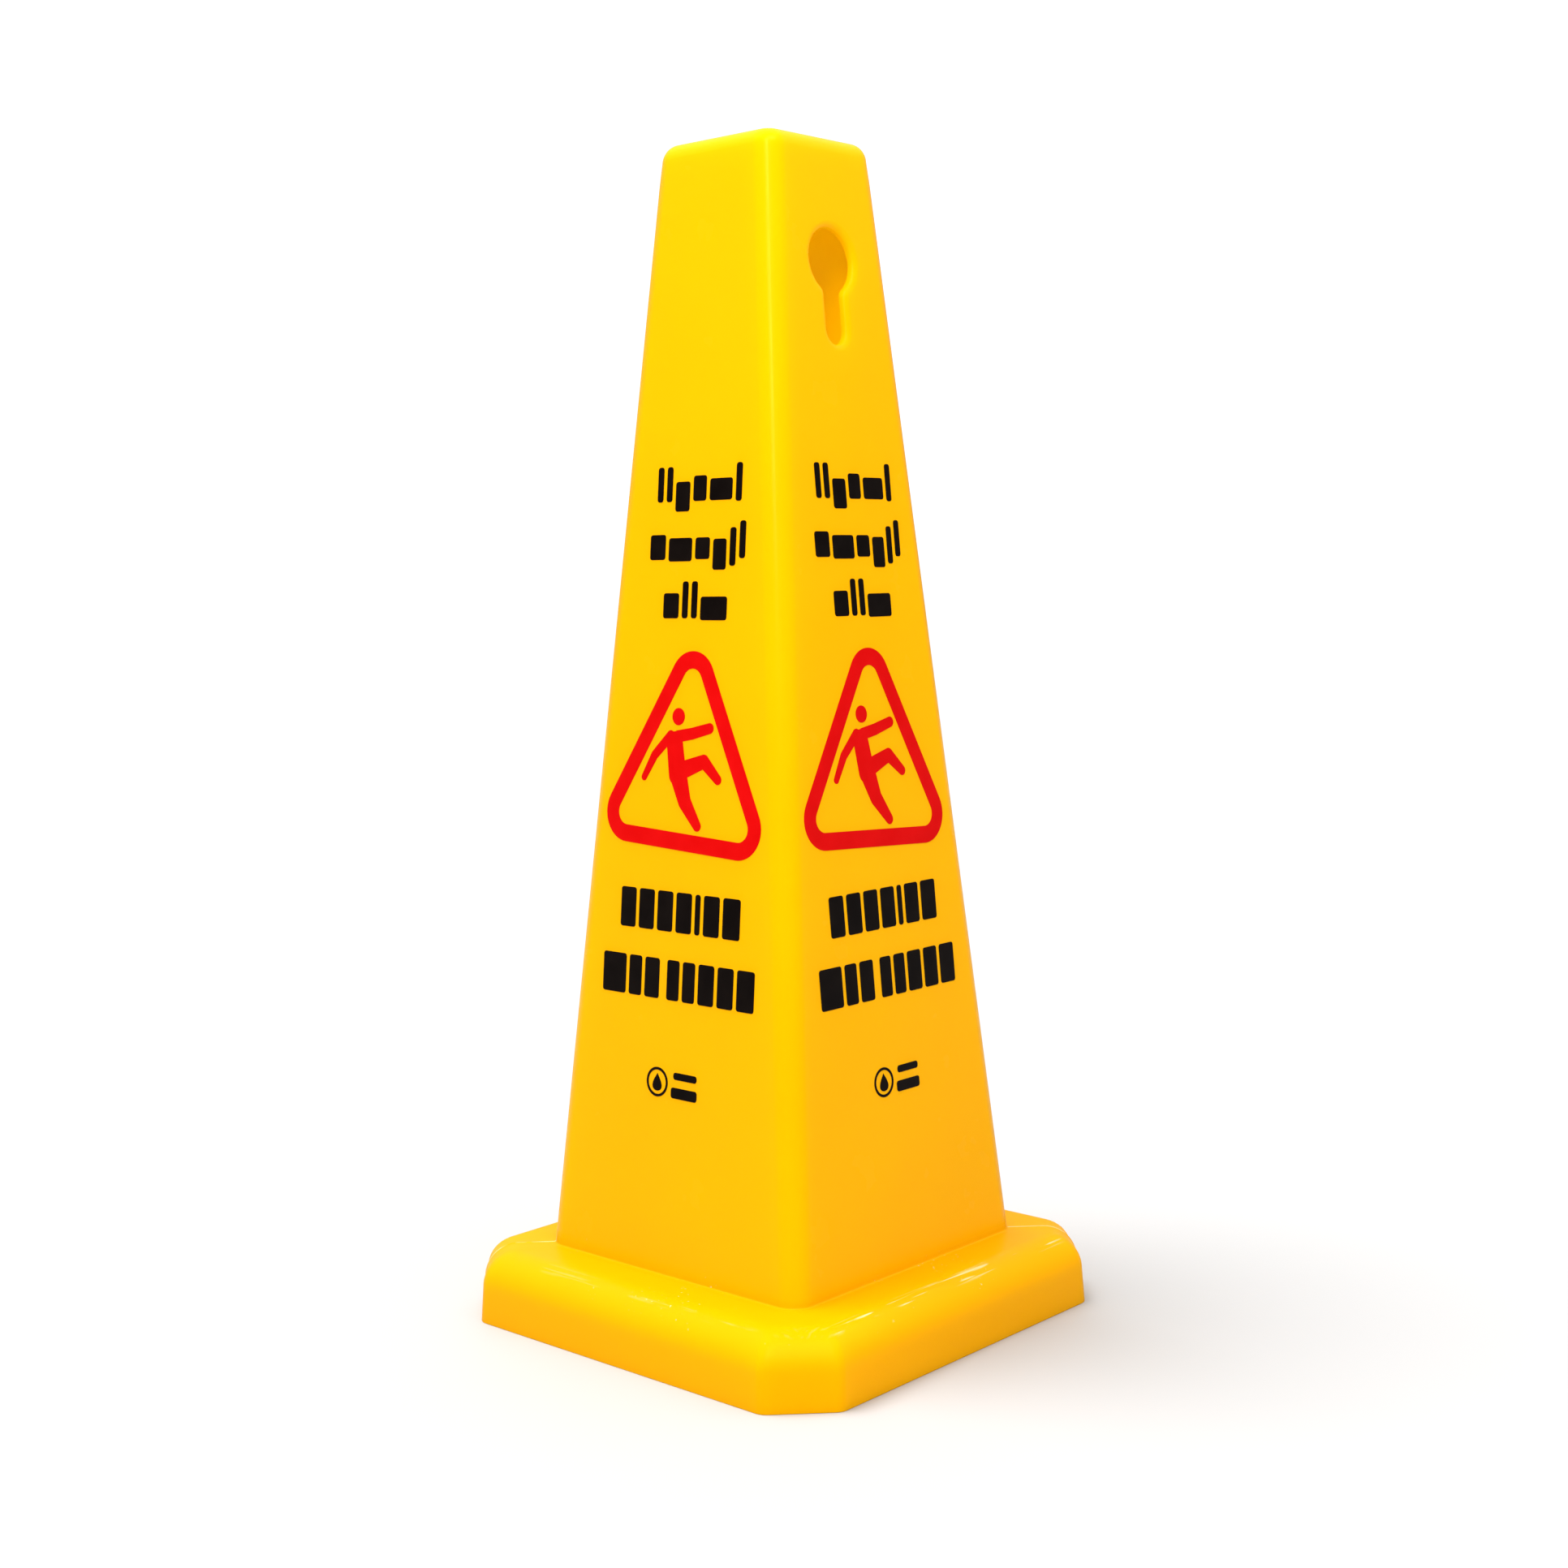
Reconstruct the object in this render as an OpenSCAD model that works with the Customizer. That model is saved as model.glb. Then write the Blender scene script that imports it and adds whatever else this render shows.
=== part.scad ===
// Four-sided floor safety cone: a hollow one-piece moulded shell with a skirted base,
// a keyhole in two opposite faces, and printed films on all four faces.
// The origin is at the middle of the footprint, on the floor. +Z is up.
// Millimetres throughout.

/* [Overall] */
// Height from the floor to the flat top
total_h = 670; // [600:5:700]
// Wall thickness of the moulding
wall = 2.5; // [2:0.1:3.5]

/* [Base] */
// Width of the base across its flat sides, at the floor
base_w = 280; // [270:1:300]
// Height of the base ledge above the floor
base_h = 40; // [36:1:50]
// Leg of the chamfer that cuts each corner of the base
base_chamfer = 30; // [26:1:40]
// Radius that rolls the base ledge over into the skirt
base_edge_r = 20; // [12:1:24]
// Radius of the upright edges at both ends of each chamfer
base_corner_r = 9; // [5:0.5:12]
// Lean of the skirt from upright, in degrees
skirt_draft = 3; // [0:0.5:5]

/* [Body] */
// Width of the body across its faces, where it meets the base
body_bottom_w = 196.5; // [180:0.5:205]
// Width across the faces where they would meet the top
body_top_w = 87.5; // [80:0.5:100]
// Radius of the four long edges
body_corner_r = 12; // [8:0.5:14]
// Radius that rounds the faces over into the flat top
top_edge_r = 10.5; // [5:0.5:11]

/* [Keyholes] */
// Radius of the round end, which a chain hook or a tape end passes through
keyhole_r = 18; // [14:0.5:20]
// Half width of the slot that hangs from the round end
slot_r = 8; // [5:0.5:9]
// Height of the centre of the round end above the floor
keyhole_z = 601; // [560:0.5:605]
// Distance from the centre of the round end down to the centre of the slot's end
slot_drop = 38; // [32:0.5:50]
// Radius of the blend between the round end and the slot
neck_r = 6; // [4:0.5:6]
// Depth of the rolled-in lip below the face
lip_depth = 5; // [4:0.5:8]
// Radius of the soft outer edge of the lip
lip_edge_r = 3; // [2:0.5:3.5]
// Thickness of the lip around the hole
lip_wall = 2.5; // [2:0.1:3]

/* [Printed films] */
// Thickness of every film
film = 0.2; // [0.1:0.05:0.5]
// Height above the floor of the line between the centres of the triangle's lower corners
triangle_z = 294; // [280:0.5:300]
// Distance between the centres of the triangle's two lower corners
triangle_w = 86; // [70:1:90]
// Height of the centre of the top corner above the centres of the lower corners
triangle_h = 77; // [70:1:80]
// Outer radius of the triangle's three corners
triangle_r = 17; // [14:0.5:18]
// Width of the triangle's band
triangle_band = 9.7; // [6:0.1:10]
// Turn of the triangle and its figure on the face, in degrees, clockwise
symbol_turn = 3; // [0:0.5:4]
// Height of the blocks in the two lower rows
lower_block_h = 22.5; // [16:0.5:25]
// Sideways offset of the upper rows from the middle of the face
upper_x = 2.5; // [0:0.5:4]
// Sideways offset of the triangle and its figure from the middle of the face
symbol_x = -1; // [-2:0.5:2]
// Corner radius of the blocks
block_r = 1.6; // [1:0.1:2]
// Space between neighbouring blocks
block_gap = 2.6; // [1.5:0.1:3]

/* [Hidden] */
// Steps in each 45 degree arc of a ring around the shell, and in each arc of its profile
arc_steps = 4;
roll_steps = 6;
$fn = 48;

// How far a side's chamfer line moves, for one unit that all eight sides move in
chamfer_shift = 2 - sqrt(2);
half_turn_tan = tan(22.5);
smallest_r = 1.2;
// The long edges carry a narrow flat, where the two mould halves meet
edge_flat = 1;
// How far the blends at the neck of a keyhole run into the round end and the slot
blend_overlap = 0.15;
body_chamfer = body_corner_r * chamfer_shift + edge_flat;

face_tilt = atan((body_bottom_w - body_top_w) / 2 / (total_h - base_h));
skirt_h = base_h - base_edge_r;
skirt_top_w = base_w / 2 - skirt_h * tan(skirt_draft);

// Half width of the outer faces at height z
function face_at(z) = body_bottom_w / 2 - (z - base_h) * tan(face_tilt);

SIDES = ["front", "right", "back", "left"];
FILMS = ["upper_legend", "warning_triangle", "slip_figure", "lower_legend", "drop_mark"];

// Rows of the upper legend: height of the row's foot, then each block's width, drop and rise
upper_rows = [
    [470, [[4.5, 0, 19.5], [4.5, 0, 19.5], [11, 5.5, 11], [10, 0, 14], [17, 0, 12], [4.5, 1, 20]]],
    [438, [[12, 0, 14], [18, 1, 12], [11, 0, 12], [10, 6, 11], [4.5, 4, 17], [4.5, 0, 20.5]]],
    [405.5, [[12, 0, 14], [4.5, 0, 20.5], [4.5, 0, 20.5], [20, 1, 12]]]
];
// Rows of the lower legend: height of the row's foot, then the block widths of each word
lower_rows = [
    [231.5, [[12, 12, 12, 12, 4, 12, 13]]],
    [193.5, [[18.5, 10, 11.5], [9.5, 9.5, 12, 12, 13]]]
];
word_gap = 6;

// The mark below the legends: a plain drop in a ring, with two bars beside it
mark_z = 147;
mark_ring_r = 8.3;
mark_ring_band = 1.5;
drop_r = 5;
drop_x = -12;
mark_bars = [[9.5, 5, 18, 4], [9, -4.5, 20, 6]];

// The slipping figure, measured from the middle of that same line: the head, and each limb's
// bends, all as [x, y, radius]
figure_head = [-8.5, 57, 4.8];
figure_limbs = [
    [[-10, 42.5, 6.2], [-6, 25, 6.6]],
    [[-13.5, 46, 3], [-25, 34, 2.7], [-32, 21, 2.1]],
    [[-8, 46, 3.4], [3, 48.5, 3.3], [16, 52.5, 3]],
    [[-5, 24, 6.4], [1, 10.5, 4.8], [12, -2, 3]],
    [[-4, 27, 5.2], [13.5, 34, 3.9], [25, 25, 2.8]]
];

// ---- rings and profile of the shell ----

// One eighth corner: arc about a centre that keeps it tangent to a flat side and the chamfer
function eighth(w, c, r, first) =
    let (near = w - r, far = w - c - r * half_turn_tan)
    [for (i = [0 : arc_steps])
        let (a = (first ? 0 : 45) + 45 * i / arc_steps)
        (first ? [near, far] : [far, near]) + r * [cos(a), sin(a)]];

// A whole ring, anticlockwise from above: half width w, chamfer leg c, edge radius r, height z
function ring(w, c, r, z) =
    [for (quarter = [0 : 3])
        for (p = concat(eighth(w, c, r, true), eighth(w, c, r, false)))
            [p.x * cos(90 * quarter) - p.y * sin(90 * quarter),
             p.x * sin(90 * quarter) + p.y * cos(90 * quarter),
             z]];

// A ring whose outline is moved in by a distance from a given one
function inset_ring(w, c, r, inset, z) =
    ring(w - inset, c - chamfer_shift * inset, max(r - inset, smallest_r), z);

// A ring of the base, whose upright edges keep their radius all the way over the roll
function base_ring(w, inset, depth, z) =
    ring(w - inset, base_chamfer - chamfer_shift * inset, base_corner_r - depth, z);

// Rings from the floor to the top, for a skin that lies a given depth inside the outer one
function skin(depth) =
    let (
        edge_r = base_edge_r - depth,
        crown_r = top_edge_r - depth,
        crown_z = total_h - top_edge_r,
        crown_w = face_at(crown_z) - top_edge_r / cos(face_tilt),
        foot_z = base_h - depth
    )
    concat(
        [base_ring(base_w / 2, depth, depth, 0)],
        [for (i = [0 : roll_steps])
            let (a = 90 * i / roll_steps)
            base_ring(skirt_top_w, base_edge_r - edge_r * cos(a), depth, skirt_h + edge_r * sin(a))],
        [inset_ring(face_at(foot_z), body_chamfer, body_corner_r, depth / cos(face_tilt), foot_z)],
        [for (i = [0 : roll_steps])
            let (a = face_tilt + (90 - face_tilt) * i / roll_steps)
            inset_ring(crown_w + top_edge_r, body_chamfer, body_corner_r,
                       top_edge_r - crown_r * cos(a), crown_z + crown_r * sin(a))]
    );

// Two triangles between neighbouring points of two rings; flip turns them over
function band(low, high, count, flip) =
    [for (j = [0 : count - 1])
        let (k = (j + 1) % count)
        for (t = [[low + j, high + j, high + k], [low + j, high + k, low + k]])
            flip ? [t[2], t[1], t[0]] : t];

module moulding() {
    outer = skin(0);
    inner = skin(wall);
    rows = len(outer);
    count = len(outer[0]);
    inside = rows * count;
    points = [for (skin_rings = [outer, inner]) for (one_ring = skin_rings) for (p = one_ring) p];
    sides = [for (i = [0 : rows - 2]) each concat(
        band(i * count, (i + 1) * count, count, false),
        band(inside + i * count, inside + (i + 1) * count, count, true))];
    rim = band(0, inside, count, true);
    crown = [[for (j = [count - 1 : -1 : 0]) inside - count + j]];
    ceiling = [[for (j = [0 : count - 1]) 2 * inside - count + j]];
    polyhedron(points, concat(sides, rim, crown, ceiling));
}

// ---- places on the four faces ----

// Puts a drawing on a face: x across it, y up along it from the base ledge, z outwards
module on_face(side) {
    rotate([0, 0, 90 * side])
        translate([0, -body_bottom_w / 2, base_h])
            rotate([90 - face_tilt, 0, 0])
                children();
}

// Moves a drawing up a face, so that its own zero lies at height z above the floor
module at_height(z) {
    translate([0, (z - base_h) / cos(face_tilt), 0]) children();
}

// ---- keyholes ----

// Outline of the hole, grown by a margin: round end, slot and, without a margin, the blends
module keyhole_outline(margin) {
    blend_x = slot_r + neck_r - blend_overlap;
    blend_y = -sqrt(pow(keyhole_r + neck_r - blend_overlap, 2) - pow(blend_x, 2));
    circle(r = keyhole_r + margin);
    translate([-slot_r - margin, -slot_drop])
        square([2 * (slot_r + margin), slot_drop]);
    translate([0, -slot_drop])
        circle(r = slot_r + margin);
    difference() {
        polygon([[0, 0], [-blend_x, blend_y], [blend_x, blend_y]]);
        for (x = [-blend_x, blend_x])
            translate([x, blend_y])
                circle(r = neck_r - margin);
    }
}

// Section of the soft edge beside a straight wall at x = half: what the edge cuts away
module edge_section(half) {
    edge_low = lip_edge_r * 0.94;
    difference() {
        translate([0, -edge_low])
            square([half + lip_edge_r, edge_low + 1]);
        translate([half + lip_edge_r, -edge_low])
            circle(r = lip_edge_r);
    }
}

module keyhole_cut() {
    translate([0, 0, -2 * lip_depth])
        linear_extrude(2 * lip_depth + 1)
            keyhole_outline(0);
    rotate_extrude()
        edge_section(keyhole_r);
    translate([0, -slot_drop, 0])
        rotate_extrude()
            edge_section(slot_r);
    for (flip = [0, 1])
        mirror([flip, 0, 0])
            rotate([90, 0, 0])
                linear_extrude(slot_drop)
                    edge_section(slot_r);
}

module keyhole_lip() {
    translate([0, 0, -lip_depth])
        linear_extrude(lip_depth - wall / 2)
            keyhole_outline(lip_wall);
}

// ---- outlines of the printed films ----

// Points of an arc about a centre
function arc(centre, r, from, to, steps) =
    [for (i = [0 : steps]) let (a = from + (to - from) * i / steps) centre + r * [cos(a), sin(a)]];

// Direction of the outward normal of the line from one point to the next, going anticlockwise
function side_normal(a, b) = atan2(b.y - a.y, b.x - a.x) - 90;

// Outline of a rounded polygon about anticlockwise centres of its corner arcs
function rounded(centres, r, steps) =
    let (n = len(centres))
    [for (i = [0 : n - 1])
        let (
            from = side_normal(centres[(i + n - 1) % n], centres[i]),
            turn = (side_normal(centres[i], centres[(i + 1) % n]) - from + 720) % 360
        )
        each arc(centres[i], r, from, from + turn, steps)];

// A block with rounded corners, standing on its lower left corner
module block(w, h) {
    r = min(block_r, w / 2.2, h / 2.2);
    polygon(rounded([[r, r], [w - r, r], [w - r, h - r], [r, h - r]], r, 4));
}

// A limb piece that tapers between two round ends, each given as [x, y, radius]
module limb(a, b) {
    direction = atan2(b.y - a.y, b.x - a.x);
    length = norm([b.x - a.x, b.y - a.y]);
    lean = asin((a.z - b.z) / length);
    polygon(concat(
        arc([a.x, a.y], a.z, direction + 90 - lean, direction + 270 + lean, 16),
        arc([b.x, b.y], b.z, direction - 90 + lean, direction + 90 - lean, 16)));
}

// Sum of the first n numbers in a list
function sum(list, n) = n <= 0 ? 0 : list[n - 1] + sum(list, n - 1);

module film_sheet() {
    linear_extrude(film) children();
}

module upper_legend() {
    for (row = upper_rows) {
        widths = [for (item = row[1]) item[0]];
        row_w = sum(widths, len(widths)) + block_gap * (len(widths) - 1);
        for (i = [0 : len(widths) - 1])
            at_height(row[0])
                translate([upper_x + sum(widths, i) + block_gap * i - row_w / 2, -row[1][i][1], 0])
                    film_sheet()
                        block(widths[i], row[1][i][1] + row[1][i][2]);
    }
}

module lower_legend() {
    for (row = lower_rows) {
        widths = [for (word = row[1]) each word];
        breaks = [for (word = row[1]) for (i = [0 : len(word) - 1]) i == len(word) - 1 ? word_gap : block_gap];
        row_w = sum(widths, len(widths)) + sum(breaks, len(breaks) - 1);
        for (i = [0 : len(widths) - 1])
            at_height(row[0])
                translate([sum(widths, i) + sum(breaks, i) - row_w / 2, 0, 0])
                    film_sheet()
                        block(widths[i], lower_block_h);
    }
}

// Puts the symbol's own drawing, whose zero is the middle of the triangle's lower line, on a face
module symbol_place() {
    at_height(triangle_z)
        translate([symbol_x, 0, 0])
            rotate([0, 0, -symbol_turn])
                children();
}

module warning_triangle() {
    corners = [[-triangle_w / 2, 0], [triangle_w / 2, 0], [0, triangle_h]];
    symbol_place()
        film_sheet()
            difference() {
                polygon(rounded(corners, triangle_r, 16));
                polygon(rounded(corners, triangle_r - triangle_band, 16));
            }
}

module slip_figure() {
    symbol_place()
        film_sheet()
            union() {
                translate([figure_head.x, figure_head.y])
                    circle(r = figure_head.z);
                for (line = figure_limbs)
                    for (i = [0 : len(line) - 2])
                        limb(line[i], line[i + 1]);
            }
}

module drop_mark() {
    at_height(mark_z) {
        translate([drop_x, 0, 0]) {
            film_sheet()
                difference() {
                    circle(r = mark_ring_r);
                    circle(r = mark_ring_r - mark_ring_band);
                }
            film_sheet()
                polygon([for (a = [0 : 10 : 350])
                    drop_r * [sin(a) * pow(sin(a / 2), 1.4), cos(a)]]);
        }
        for (bar = mark_bars)
            translate([bar[0] - bar[2] / 2, bar[1] - bar[3] / 2, 0])
                film_sheet()
                    block(bar[2], bar[3]);
    }
}

// ---- pieces ----

module cone_shell() {
    color([0.99, 0.77, 0.0])
        difference() {
            union() {
                moulding();
                for (side = [1, 3])
                    on_face(side)
                        at_height(keyhole_z)
                            keyhole_lip();
            }
            for (side = [1, 3])
                on_face(side)
                    at_height(keyhole_z)
                        keyhole_cut();
        }
}

module black_film(side) {
    color([0.06, 0.04, 0.03]) on_face(side) children();
}

module red_film(side) {
    color([0.90, 0.02, 0.01]) on_face(side) children();
}

cone_shell();
for (side = [0 : 3]) {
    black_film(side) upper_legend();
    red_film(side) warning_triangle();
    red_film(side) slip_figure();
    black_film(side) lower_legend();
    black_film(side) drop_mark();
}
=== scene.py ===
"""Looks of a four-sided floor safety cone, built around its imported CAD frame. Metres, +Z up."""
import math

import bmesh
import bpy
from mathutils import Matrix, Vector


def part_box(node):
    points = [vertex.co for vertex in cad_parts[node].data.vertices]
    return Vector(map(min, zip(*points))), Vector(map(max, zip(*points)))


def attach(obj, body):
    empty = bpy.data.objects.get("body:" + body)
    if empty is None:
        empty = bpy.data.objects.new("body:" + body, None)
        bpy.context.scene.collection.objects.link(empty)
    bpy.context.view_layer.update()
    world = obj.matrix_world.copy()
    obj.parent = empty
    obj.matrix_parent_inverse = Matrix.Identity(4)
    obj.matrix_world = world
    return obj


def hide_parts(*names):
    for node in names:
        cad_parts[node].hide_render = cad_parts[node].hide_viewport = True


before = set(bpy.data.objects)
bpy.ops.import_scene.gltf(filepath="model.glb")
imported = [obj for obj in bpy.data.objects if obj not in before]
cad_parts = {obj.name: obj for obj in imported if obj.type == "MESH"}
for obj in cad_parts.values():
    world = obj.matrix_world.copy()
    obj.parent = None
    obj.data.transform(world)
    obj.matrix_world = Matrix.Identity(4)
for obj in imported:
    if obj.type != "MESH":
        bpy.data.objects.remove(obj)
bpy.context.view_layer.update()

MM = 0.001
LOW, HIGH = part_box("cone_shell")

# ---- sizes of the moulding, as the CAD has them ----

TOTAL_H = HIGH.z
BASE_HALF = HIGH.x
WALL = 2.5 * MM
BASE_H = 40 * MM
BASE_CHAMFER = 30 * MM
BASE_EDGE_R = 20 * MM
BASE_CORNER_R = 9 * MM
SKIRT_DRAFT = math.radians(3)
BODY_BOTTOM_HALF = 98.25 * MM
BODY_TOP_HALF = 43.75 * MM
BODY_CORNER_R = 12 * MM
TOP_EDGE_R = 10.5 * MM
EDGE_FLAT = 1 * MM        # leg of the narrow flat left along each corner edge of the body
KEYHOLE_R = 18 * MM
SLOT_R = 8 * MM
KEYHOLE_Z = 601 * MM
SLOT_DROP = 38 * MM
NECK_R = 6 * MM
LIP_DEPTH = 5 * MM
LIP_WALL = 2.5 * MM

# ---- details that only the looks have ----

RIM_R = 0.5 * MM          # rounding of the trimmed lower edge
FOOT_R = 1.2 * MM         # inside corner where the body rises from the ledge
LIP_FLARE_W = 4.4 * MM    # how far the soft edge of a keyhole reaches across the face
LIP_FLARE_D = 2.8 * MM    # and how deep it reaches
FLASH_W = 1.2 * MM        # width and height of the ridge where the mould halves met
FLASH_H = 0.40 * MM
CROWN_FLASH = 0.3         # how much of that height is left on the crown
LIP_END_R = 0.45 * MM     # rounding of the lip's inner end
LIP_ROOT_R = 1.5 * MM     # inside corner where the lip leaves the wall

# ---- how finely the skins are cut ----

CORNER_STEPS = 6
ROLL_STEPS = 14
FOOT_STEPS = 4
WALL_STEPS = 14
WALL_MARGIN = 12 * MM     # the straight wall's rings keep this far from the ledge and the crown
FOOT_MARGIN = 8 * MM      # the ledge's inner ring lies this far outside the foot of the body
FACE_COLUMNS = [-2 / 3, -1 / 3, 0, 1 / 3, 2 / 3]
SMALLEST_R = 1.2 * MM     # the body's corner edges stay at least this round where they move in
QUARTER = math.radians(90)

# a cut corner's leg shrinks by CHAMFER_SHIFT for each unit that the outline moves in, and its edges
# are rounded, each end of the arc lying HALF_EDGE_TAN radii from where the flats would meet
CHAMFER_SHIFT = 2 - math.sqrt(2)
HALF_EDGE_TAN = math.tan(math.radians(22.5))

FLASH_CORNERS = (0, 2)    # quarter turns, from +X, of the two corners in the mould's parting plane
KEYHOLE_FACES = (0, 2)    # quarter turns, from +X, of the two faces with a keyhole
KEYHOLE_LOW_Z = 545 * MM  # the face is cut between these heights to take a keyhole
KEYHOLE_HIGH_Z = 634 * MM

BODY_SKEW = (BODY_BOTTOM_HALF - BODY_TOP_HALF) / (TOTAL_H - BASE_H)
FACE_TILT = math.atan(BODY_SKEW)
BODY_CHAMFER = BODY_CORNER_R * CHAMFER_SHIFT + EDGE_FLAT


def sweep(steps):
    """Angles from 0 to a quarter turn."""
    return [QUARTER * i / steps for i in range(steps + 1)]


def face_at(z):
    """Half width of the outer faces at height z."""
    return BODY_BOTTOM_HALF - (z - BASE_H) * BODY_SKEW


# ---- the moulding ----

def ring(half, chamfer, radius, z, lean, flash):
    """Points of one ring round the shell, anticlockwise, each with how much of the ridge it is.

    half is the half width and chamfer the leg of each cut corner, with edges of the given radius.
    lean is the elevation of the surface's normal there, which is the way that the ridge stands out.
    """
    near = half - radius
    far = half - chamfer - radius * HALF_EDGE_TAN
    middle = half - chamfer / 2
    points = []
    for quarter in range(4):
        here = [(half, far * column, 0, 0) for column in FACE_COLUMNS]
        for i in range(CORNER_STEPS + 1):
            a = math.radians(45 * i / CORNER_STEPS)
            here.append((near + radius * math.cos(a), far + radius * math.sin(a), 0, 0))
        ridge = FLASH_H * flash if quarter in FLASH_CORNERS else 0
        side = FLASH_W / 2 / math.sqrt(2)
        out = ridge * math.cos(lean) / math.sqrt(2)
        here.append((middle + side, middle - side, 0, 0))
        here.append((middle + out, middle + out, ridge * math.sin(lean), ridge / FLASH_H))
        here.append((middle - side, middle + side, 0, 0))
        for i in range(CORNER_STEPS + 1):
            a = math.radians(45 + 45 * i / CORNER_STEPS)
            here.append((far + radius * math.cos(a), near + radius * math.sin(a), 0, 0))
        turn = Matrix.Rotation(QUARTER * quarter, 3, "Z")
        points += [(turn @ Vector((x, y, z + up)), mark) for x, y, up, mark in here]
    return points


def skin(depth, flash):
    """Rings from the floor to the top, for a skin that lies a given depth inside the outer one."""

    def base(half, inset, z, lean, ridge=flash):
        return ring(half - inset, BASE_CHAMFER - CHAMFER_SHIFT * inset, BASE_CORNER_R - depth, z, lean, ridge)

    def body(half, inset, z, lean, ridge=flash):
        radius = max(BODY_CORNER_R - inset, SMALLEST_R)
        return ring(half - inset, BODY_CHAMFER - CHAMFER_SHIFT * inset, radius, z, lean, ridge)

    # the trimmed rim, the skirt, and the roll over into the ledge
    rings = [base(BASE_HALF, depth + RIM_R, 0, 0, ridge=0),
             base(BASE_HALF, depth + 0.3 * RIM_R, 0.3 * RIM_R, 0),
             base(BASE_HALF, depth, RIM_R, 0)]
    skirt_h = BASE_H - BASE_EDGE_R
    skirt_half = BASE_HALF - skirt_h * math.tan(SKIRT_DRAFT)
    edge_r = BASE_EDGE_R - depth
    for a in sweep(ROLL_STEPS):
        rings.append(base(skirt_half, BASE_EDGE_R - edge_r * math.cos(a), skirt_h + edge_r * math.sin(a), a))

    # the ledge, the small inside corner at its foot, and the wall up to the keyhole and past it
    ledge_z = BASE_H - depth

    def wall(z, step_out, lean):
        return body(face_at(z), depth / math.cos(FACE_TILT) - step_out, z, lean)

    rings.append(wall(ledge_z, FOOT_MARGIN, QUARTER))
    for i in range(FOOT_STEPS + 1):
        a = QUARTER - (QUARTER - FACE_TILT) * i / FOOT_STEPS
        rings.append(wall(ledge_z + FOOT_R * (1 - math.sin(a)), FOOT_R * (1 - math.cos(a)), a))
    low, high = BASE_H + WALL_MARGIN, TOTAL_H - TOP_EDGE_R - WALL_MARGIN
    heights = [low + (KEYHOLE_LOW_Z - low) * i / WALL_STEPS for i in range(WALL_STEPS + 1)]
    heights += [KEYHOLE_HIGH_Z, high]
    rings += [wall(z, 0, FACE_TILT) for z in heights]

    # the crown, low enough for the ridge that crosses it
    crown_r = TOP_EDGE_R - depth
    crown_z = TOTAL_H - CROWN_FLASH * FLASH_H - TOP_EDGE_R
    crown_half = face_at(crown_z) - TOP_EDGE_R / math.cos(FACE_TILT) + TOP_EDGE_R
    for i in range(ROLL_STEPS + 1):
        a = FACE_TILT + (QUARTER - FACE_TILT) * i / ROLL_STEPS
        rings.append(body(crown_half, TOP_EDGE_R - crown_r * math.cos(a), crown_z + crown_r * math.sin(a), a,
                          CROWN_FLASH * flash))
    return rings


def arc(centre, radius, start, end, steps):
    """Points of an arc, with its angles in degrees."""
    angles = [math.radians(start + (end - start) * i / steps) for i in range(steps + 1)]
    return [(centre[0] + radius * math.cos(a), centre[1] + radius * math.sin(a)) for a in angles]


def keyhole_loop(grow):
    """Outline of the keyhole grown by a distance, anticlockwise from the left of the slot's end."""
    blend_x = SLOT_R + NECK_R
    blend_y = -math.sqrt((KEYHOLE_R + NECK_R) ** 2 - blend_x ** 2)
    meet = math.degrees(math.atan2(-blend_y, blend_x))
    slot = [(SLOT_R + grow, -SLOT_DROP + (blend_y + SLOT_DROP) * i / 6) for i in range(1, 6)]
    right = slot + arc((blend_x, blend_y), NECK_R - grow, 180, 180 - meet, 8)[:-1]
    left = [(-x, y) for x, y in reversed(right)]
    end = arc((0, -SLOT_DROP), SLOT_R + grow, 180, 360, 20)
    return end + right + arc((0, 0), KEYHOLE_R + grow, -meet, 180 + meet, 64) + left


def lip_profile():
    """The lip's section, from the outer face over the edge and round to the inner face: (grow, depth)."""
    flare = [(LIP_FLARE_W * (1 - math.sin(a)), LIP_FLARE_D * (1 - math.cos(a)))
             for a in sweep(12)]
    end = [(LIP_END_R * (1 - math.cos(a)), LIP_DEPTH - LIP_END_R * (1 - math.sin(a))) for a in sweep(3)]
    back = [(LIP_WALL - x, depth) for x, depth in reversed(end)]
    root = [(LIP_WALL + LIP_ROOT_R * (1 - math.cos(a)), WALL + LIP_ROOT_R * (1 - math.sin(a)))
            for a in sweep(4)]
    return flare + end + back + root


def on_face(quarter, across, up, depth):
    """A point of a face: across it, up along it from the middle of a keyhole, and into the wall."""
    out = Vector((math.cos(FACE_TILT), 0, math.sin(FACE_TILT)))
    rise = Vector((-math.sin(FACE_TILT), 0, math.cos(FACE_TILT)))
    place = Vector((face_at(KEYHOLE_Z), across, KEYHOLE_Z)) + rise * up - out * depth
    return Matrix.Rotation(QUARTER * quarter, 3, "Z") @ place


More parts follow.
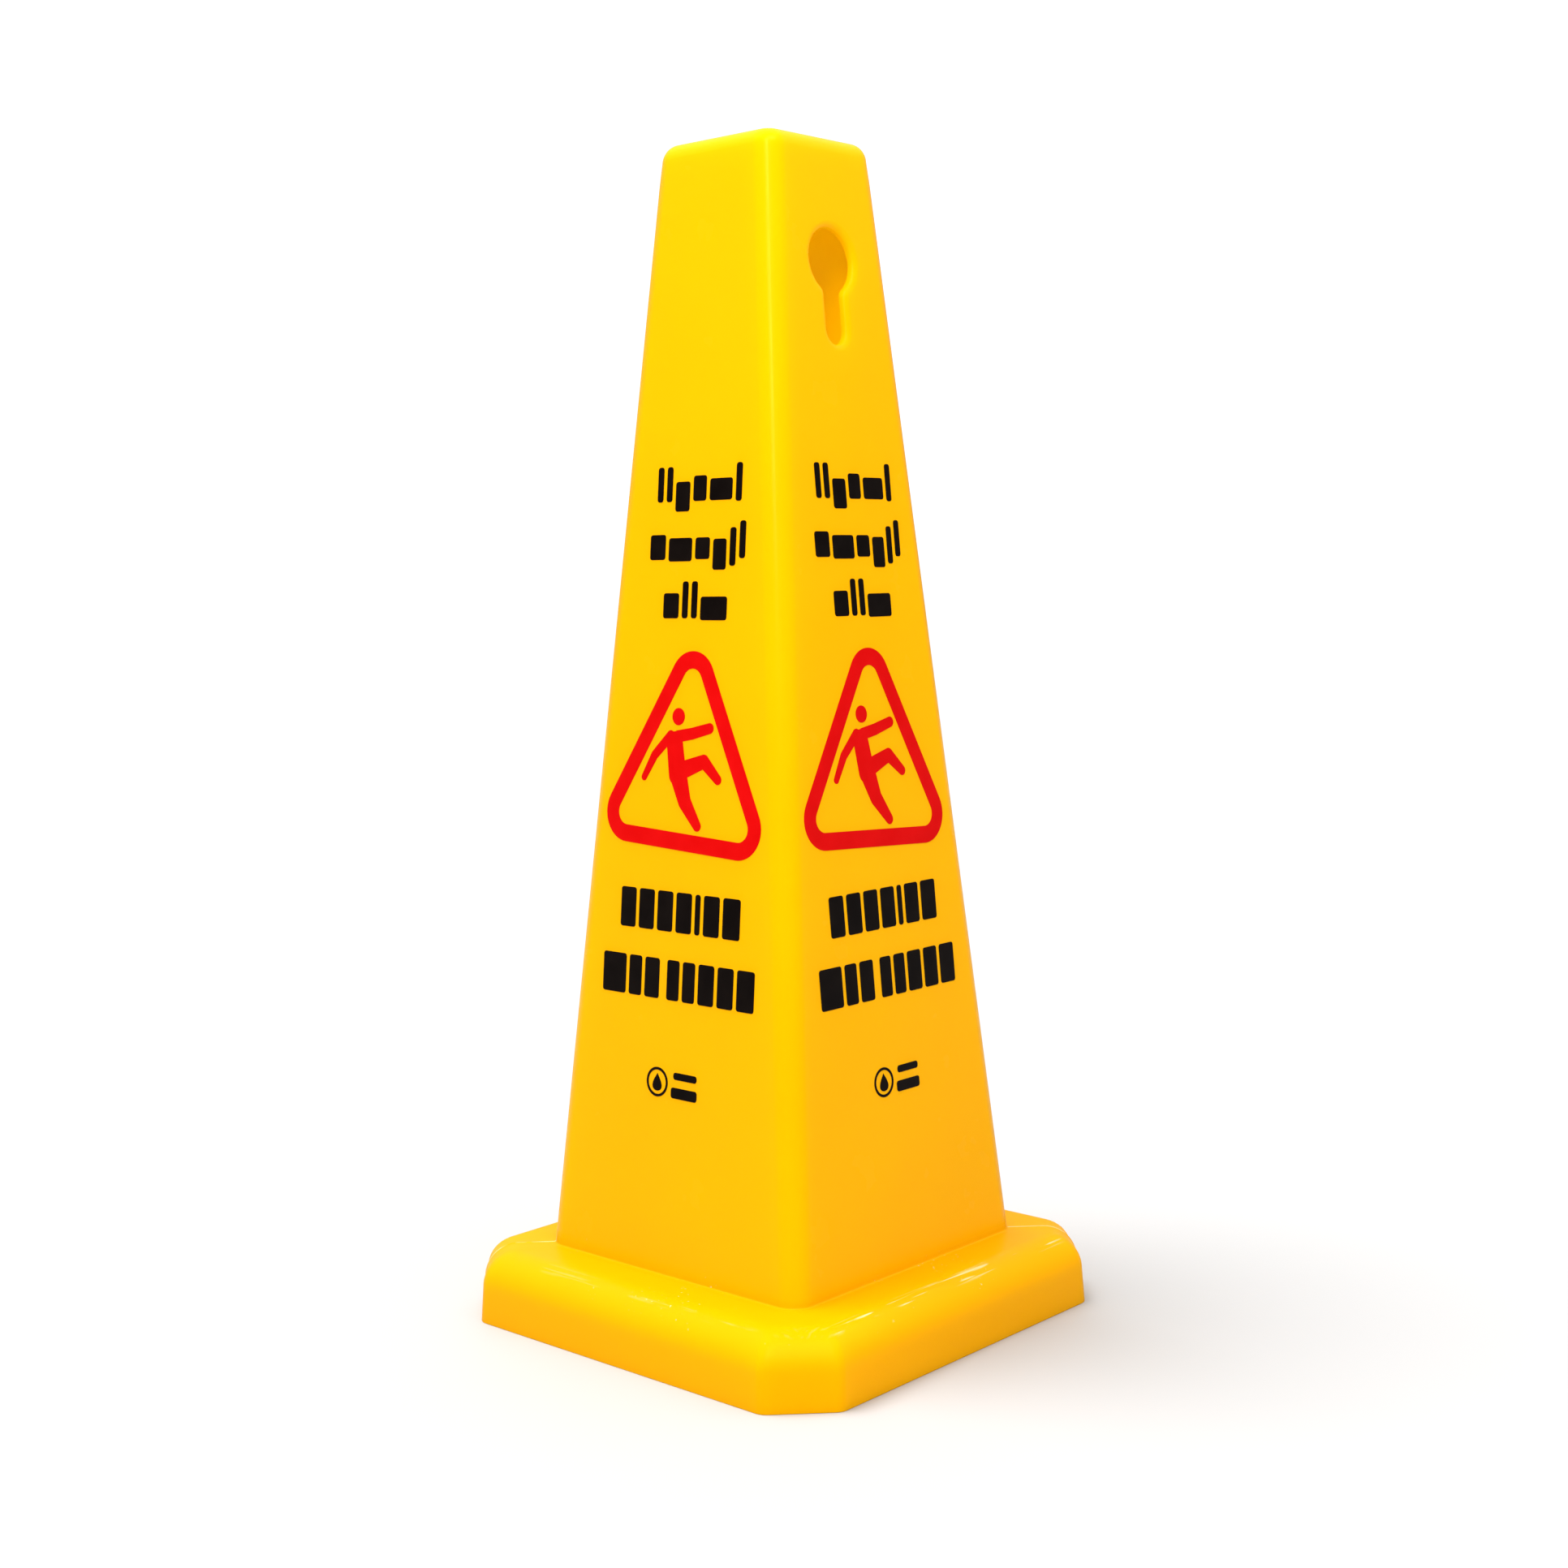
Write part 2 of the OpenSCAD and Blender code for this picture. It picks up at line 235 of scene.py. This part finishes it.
def make_moulding():
    """The whole cone: outer and inner skins, trimmed rim, crown, and both keyholes."""
    bm = bmesh.new()
    ridge = bm.verts.layers.float.new("ridge")

    def add(point, mark=0.0):
        vert = bm.verts.new(point)
        vert[ridge] = mark
        return vert

    def close(loop_a, loop_b):
        count = len(loop_a)
        for j in range(count):
            k = (j + 1) % count
            bm.faces.new((loop_a[j], loop_a[k], loop_b[k], loop_b[j]))

    skins = []
    for depth, flash in ((0, 1), (WALL, 0)):
        skins.append([[add(p, mark) for p, mark in one_ring] for one_ring in skin(depth, flash)])

    quarter_len = len(skins[0][0]) // 4
    columns = len(FACE_COLUMNS)
    windows = []
    for rows in skins:
        for low, high in zip(rows, rows[1:]):
            has_hole = abs(low[0].co.z - KEYHOLE_LOW_Z) < 1e-5
            for j in range(len(low)):
                k = (j + 1) % len(low)
                quarter, place = divmod(j, quarter_len)
                if has_hole and quarter in KEYHOLE_FACES and place < columns - 1:
                    continue
                bm.faces.new((low[j], low[k], high[k], high[j]))
            if has_hole:
                spans = {q: slice(q * quarter_len, q * quarter_len + columns) for q in KEYHOLE_FACES}
                windows.append({q: (low[span], high[span]) for q, span in spans.items()})

    close(skins[0][0], skins[1][0])
    for rows in skins:
        cap(bm, rows[-1], quarter_len)

    profile = lip_profile()
    for quarter in KEYHOLE_FACES:
        loops = []
        for grow, depth in profile:
            loops.append([add(on_face(quarter, x, y, depth)) for x, y in keyhole_loop(grow)])
        for a, b in zip(loops, loops[1:]):
            close(a, b)
        for window, loop in zip(windows, (loops[0], loops[-1])):
            low, high = window[quarter]
            fill_between(bm, low + high[::-1], loop)

    bmesh.ops.recalc_face_normals(bm, faces=bm.faces)
    mesh = bpy.data.meshes.new("moulding")
    bm.to_mesh(mesh)
    bm.free()
    mesh.shade_smooth()
    piece = bpy.data.objects.new("moulding", mesh)
    bpy.context.scene.collection.objects.link(piece)
    weighted = piece.modifiers.new("even shading", "WEIGHTED_NORMAL")
    weighted.weight = 80
    weighted.keep_sharp = True
    return piece


def cap(bm, loop, quarter_len):
    """Closes the top: two flat halves with the mould's ridge between them."""
    first = len(FACE_COLUMNS) + CORNER_STEPS + 1
    near = loop[first:first + 3]
    far = loop[2 * quarter_len + first:2 * quarter_len + first + 3]
    bm.faces.new((near[0], near[1], far[1], far[2]))
    bm.faces.new((near[1], near[2], far[0], far[1]))
    left = loop[first + 2:2 * quarter_len + first + 1]
    right = loop[2 * quarter_len + first + 2:] + loop[:first + 1]
    bm.faces.new(left)
    bm.faces.new(right)


def fill_between(bm, outer, inner):
    """Fills the flat part of a face between a window cut in it and the loop inside the window."""
    edges = []
    for loop in (outer, inner):
        for a, b in zip(loop, loop[1:] + loop[:1]):
            edges.append(bm.edges.get((a, b)) or bm.edges.new((a, b)))
    bmesh.ops.triangle_fill(bm, use_beauty=True, use_dissolve=False, edges=edges)


# ---- materials ----

class Shader:
    """A material with short ways to add and join its nodes."""

    def __init__(self, name):
        self.material = bpy.data.materials.new(name)
        self.material.use_nodes = True
        self.tree = self.material.node_tree
        self.surface = self.tree.nodes["Principled BSDF"]

    def set(self, **values):
        for name, value in values.items():
            self.surface.inputs[name.replace("_", " ")].default_value = value

    def node(self, kind, inputs=None, **settings):
        made = self.tree.nodes.new(kind)
        for name, value in settings.items():
            setattr(made, name, value)
        for socket, value in (inputs or {}).items():
            if isinstance(value, bpy.types.NodeSocket):
                self.tree.links.new(value, made.inputs[socket])
            else:
                made.inputs[socket].default_value = value
        return made

    def place(self, scale=(1, 1, 1)):
        """Object coordinates, stretched."""
        where = self.node("ShaderNodeTexCoord")
        return self.node("ShaderNodeMapping", {"Vector": where.outputs["Object"], "Scale": scale}).outputs[0]

    def noise(self, scale, detail, stretch=(1, 1, 1)):
        return self.node("ShaderNodeTexNoise", {"Vector": self.place(stretch), "Scale": scale,
                                                "Detail": detail}).outputs["Fac"]

    def remap(self, value, from_low, from_high, to_low=0.0, to_high=1.0):
        return self.node("ShaderNodeMapRange", {"Value": value, "From Min": from_low, "From Max": from_high,
                                                "To Min": to_low, "To Max": to_high}).outputs[0]

    def math(self, operation, a, b=0.0):
        return self.node("ShaderNodeMath", {0: a, 1: b}, operation=operation).outputs[0]

    def product(self, first, *others):
        for other in others:
            first = self.math("MULTIPLY", first, other)
        return first

    def blend(self, factor, a, b):
        mixed = self.node("ShaderNodeMix", {"Factor": factor}, data_type="RGBA")
        for socket, value in ((mixed.inputs[6], a), (mixed.inputs[7], b)):
            if isinstance(value, bpy.types.NodeSocket):
                self.tree.links.new(value, socket)
            else:
                socket.default_value = (*value, 1)
        return mixed.outputs[2]

    def link(self, value, name):
        self.tree.links.new(value, self.surface.inputs[name])

    def bump(self, heights):
        """Joins layers of bump: (height socket, strength, distance)."""
        normal = None
        for height, strength, distance in heights:
            made = self.node("ShaderNodeBump", {"Height": height, "Strength": strength, "Distance": distance})
            if normal is not None:
                self.tree.links.new(normal, made.inputs["Normal"])
            normal = made.outputs[0]
        self.link(normal, "Normal")


def moulded_yellow():
    """Semi-gloss blow-moulded polyethylene, a little see-through, with pale specks of wear low down, a
    painted highlight along the base's rolled edge and painted shade on the base.
    """
    s = Shader("moulded_yellow")
    s.set(IOR=1.4, Specular_IOR_Level=0.2, Specular_Tint=(1.0, 0.82, 0.15, 1.0))
    along, across, height = s.node("ShaderNodeSeparateXYZ", {0: s.place()}).outputs

    colour = s.blend(s.remap(s.noise(9, 3), 0.35, 0.65), (0.930, 0.455, 0.0), (0.940, 0.475, 0.0))

    # the base is duller and a shade deeper than its body, the same all round; the deeper colour is painted
    # shade, for the lower light near the floor
    base_painted_shade_and_dull = s.remap(height, BASE_H + 5 * MM, BASE_H)
    colour = s.blend(s.product(base_painted_shade_and_dull, 0.8), colour, (0.915, 0.415, 0.0))

    # fine pale lines along the top of the rolled edge, in broken lengths, most of them on the +X side
    # and few at the cut corners: a painted highlight, where a light glints along the roll
    far_x, far_y = s.math("ABSOLUTE", along), s.math("ABSOLUTE", across)
    on_x_side = s.math("GREATER_THAN", far_x, far_y)
    lines_y = s.product(on_x_side, s.noise(600, 1, (1, 0.04, 1)))
    lines_x = s.product(s.math("SUBTRACT", 1.0, on_x_side), s.noise(600, 1, (0.04, 1, 1)))
    lines = s.remap(s.math("ADD", lines_y, lines_x), 0.57, 0.64)
    above = s.remap(height, BASE_H - 4 * MM, BASE_H - 2.5 * MM)
    below = s.remap(height, BASE_H - 0.3 * MM, BASE_H - 0.9 * MM)
    broken = s.remap(s.noise(38, 2), 0.44, 0.54)
    # the painted highlight is strongest on the +X side
    glint_side = s.remap(along, 95 * MM, 125 * MM, 0.15, 1.0)
    from_corner = s.math("ABSOLUTE", s.math("SUBTRACT", far_x, far_y))
    off_corner = s.remap(from_corner, 24 * MM, 38 * MM, 0.1, 1.0)
    roll_glints = s.product(lines, above, below, broken, glint_side, off_corner)

    # a few pale specks near the ledge, where feet and mops knock it
    above = s.remap(height, BASE_H - 10 * MM, BASE_H - 5 * MM)
    below = s.remap(height, BASE_H + 15 * MM, BASE_H)
    scattered = s.remap(s.noise(20, 2), 0.55, 0.62)
    specks = s.product(s.remap(s.noise(520, 2), 0.70, 0.73), scattered, above, below)
    # the painted highlight along the roll and the pale specks of wear, together
    glints_and_specks = s.product(s.math("MAXIMUM", roll_glints, specks), 0.9)

    # the parting ridge is worn pale at the base, and hardly higher up
    ridge = s.node("ShaderNodeAttribute", attribute_name="ridge").outputs["Fac"]
    worn_low = s.remap(height, BASE_H + 60 * MM, BASE_H, 0.15, 1.0)
    worn = s.product(s.remap(ridge, 0.1, 0.7), s.remap(s.noise(60, 4), 0.40, 0.52), worn_low, 0.8)
    # pale: the painted highlight along the roll, the specks of wear and the worn ridge
    pale = s.math("MAXIMUM", glints_and_specks, worn)
    s.link(s.blend(pale, colour, (0.95, 0.80, 0.42)), "Base Color")

    rough = s.math("ADD", s.remap(s.noise(35, 4), 0.3, 0.7, 0.20, 0.28), s.product(base_painted_shade_and_dull, 0.14))
    s.link(s.math("ADD", rough, s.product(pale, 0.25)), "Roughness")
    s.bump([(s.noise(14, 2), 0.10, 6 * MM),
            (s.noise(110, 2), 0.06, 0.5 * MM),
            (s.noise(300, 2), 0.05, 0.4 * MM),
            (pale, 0.2, 0.15 * MM)])

    # the wall lets some daylight through, so the hollow body glows from inside
    let_through = 0.44
    through = s.node("ShaderNodeBsdfTranslucent", {"Color": (1.0, 0.92, 0.0, 1)})
    both = s.node("ShaderNodeMixShader", {0: let_through, 1: s.surface.outputs[0], 2: through.outputs[0]})
    s.tree.links.new(both.outputs[0], s.tree.nodes["Material Output"].inputs["Surface"])
    return s.material


def printed_ink(name, dark, light, gloss):
    """Screen-printed ink: an even film with a faint mottle and a fine grain."""
    s = Shader(name)
    s.set(IOR=1.25, Specular_IOR_Level=0.12)
    s.link(s.blend(s.remap(s.noise(70, 4), 0.35, 0.65), dark, light), "Base Color")
    s.link(s.remap(s.noise(160, 3), 0.3, 0.7, gloss, gloss + 0.08), "Roughness")
    s.bump([(s.noise(14, 2), 0.10, 6 * MM), (s.noise(700, 2), 0.08, 0.1 * MM)])
    return s.material


def pale_floor():
    """A plain pale floor, matt and very slightly clouded."""
    s = Shader("pale_floor")
    s.set(Roughness=0.6, Specular_IOR_Level=0.2)
    s.link(s.blend(s.noise(0.8, 2), (0.575, 0.575, 0.575), (0.590, 0.590, 0.590)), "Base Color")
    return s.material


# ---- studio ----

def make_floor(half):
    corners = [(-half, -half, 0), (half, -half, 0), (half, half, 0), (-half, half, 0)]
    mesh = bpy.data.meshes.new("floor")
    mesh.from_pydata(corners, [], [(0, 1, 2, 3)])
    floor = bpy.data.objects.new("floor", mesh)
    bpy.context.scene.collection.objects.link(floor)
    floor.data.materials.append(pale_floor())
    return floor


def towards(azimuth, elevation):
    """Unit vector from the object to a place round it. Azimuth 0 is on the -Y side, 90 on +X."""
    a, e = math.radians(azimuth), math.radians(elevation)
    return Vector((math.sin(a) * math.cos(e), -math.cos(a) * math.cos(e), math.sin(e)))


def hang(light, way):
    """Puts a light in the scene, shining back along the way towards it."""
    holder = bpy.data.objects.new(light.name, light)
    holder.rotation_mode = "QUATERNION"
    holder.rotation_quaternion = way.to_track_quat("Z", "Y")
    bpy.context.scene.collection.objects.link(holder)
    return holder


def make_sun(name, azimuth, elevation, strength, softness):
    """A wide, distant light that leaves no bright spot of its own on the gloss."""
    light = bpy.data.lights.new(name, "SUN")
    light.energy = strength
    light.angle = math.radians(softness)
    hang(light, towards(azimuth, elevation)).visible_glossy = False


def make_softbox(name, azimuth, elevation, distance, size, power, aim, receivers):
    """A near light, aimed at a height on the sign's axis, that falls on nothing but its receivers."""
    light = bpy.data.lights.new(name, "AREA")
    light.shape = "RECTANGLE"
    light.size, light.size_y = size
    light.energy = power
    way = towards(azimuth, elevation)
    holder = hang(light, way)
    holder.location = Vector((0, 0, aim)) + way * distance
    holder.light_linking.receiver_collection = receivers
    holder.visible_camera = False


def everything_but(floor):
    """A collection for light linking that leaves the floor out, so the near lights keep off it."""
    receivers = bpy.data.collections.new("all but the floor")
    receivers.objects.link(floor)
    for member in receivers.collection_objects:
        member.light_linking.link_state = "EXCLUDE"
    return receivers


def make_world(seen, level, overhead):
    """A white surround, lighter overhead; the camera sees it plain white."""
    world = bpy.data.worlds.new("studio")
    world.use_nodes = True
    nodes, links = world.node_tree.nodes, world.node_tree.links
    way = nodes.new("ShaderNodeTexCoord")
    height = nodes.new("ShaderNodeSeparateXYZ")
    links.new(way.outputs["Generated"], height.inputs[0])
    shed = nodes.new("ShaderNodeMapRange")
    shed.inputs["To Min"].default_value = level
    shed.inputs["To Max"].default_value = overhead
    links.new(height.outputs["Z"], shed.inputs["Value"])
    path = nodes.new("ShaderNodeLightPath")
    strength = nodes.new("ShaderNodeMapRange")
    links.new(path.outputs["Is Camera Ray"], strength.inputs["Value"])
    links.new(shed.outputs[0], strength.inputs["To Min"])
    strength.inputs["To Max"].default_value = seen
    links.new(strength.outputs[0], nodes["Background"].inputs["Strength"])
    nodes["Background"].inputs["Color"].default_value = (1, 1, 1, 1)
    bpy.context.scene.world = world


def make_camera(lens, angles, place):
    """The photo's camera: yaw, pitch and roll in degrees, and its place in sign heights."""
    yaw, pitch, roll = (math.radians(a) for a in angles)
    ahead = Vector((-math.sin(yaw) * math.cos(pitch), math.cos(yaw) * math.cos(pitch), -math.sin(pitch)))
    level = Vector((math.cos(yaw), math.sin(yaw), 0))
    upright = level.cross(ahead)
    right = math.cos(roll) * level + math.sin(roll) * upright
    up = math.cos(roll) * upright - math.sin(roll) * level
    data = bpy.data.cameras.new("camera")
    data.sensor_width = 36
    data.lens = lens
    camera = bpy.data.objects.new("camera", data)
    turned = Matrix((right, up, -ahead)).transposed().to_4x4()
    camera.matrix_world = Matrix.Translation(Vector(place) * TOTAL_H) @ turned
    bpy.context.scene.collection.objects.link(camera)
    bpy.context.scene.camera = camera


# ---- put together ----

make_camera(lens=49.97, angles=(42.06, 5.56, -0.94), place=(1.2623, -1.3873, 0.6420))
lit = everything_but(make_floor(half=60))
make_world(seen=1.1, level=0.35, overhead=1.47)
make_sun("key", azimuth=-56, elevation=67, strength=2.6, softness=32)
make_softbox("front", azimuth=38, elevation=31, distance=1.6, size=(0.12, 1.0), power=23, aim=0.5,
             receivers=lit)
make_softbox("side", azimuth=62, elevation=50, distance=1.2, size=(0.5, 0.5), power=8.5, aim=0.67,
             receivers=lit)
bpy.context.scene.view_settings.view_transform = "Standard"

shell = make_moulding()
shell.data.materials.append(moulded_yellow())
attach(shell, "root")
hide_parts("cone_shell")

black = printed_ink("black_ink", (0.0018, 0.0006, 0.0003), (0.0035, 0.0018, 0.0012), 0.30)
red = printed_ink("red_ink", (0.490, 0.0002, 0.0002), (0.520, 0.0010, 0.0010), 0.32)
INKS = {"upper_legend": black, "lower_legend": black, "drop_mark": black,
        "warning_triangle": red, "slip_figure": red}
for node_name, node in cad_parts.items():
    family = node_name.rsplit("_", 1)[0]
    if family in INKS:
        node.data.materials.clear()
        node.data.materials.append(INKS[family])
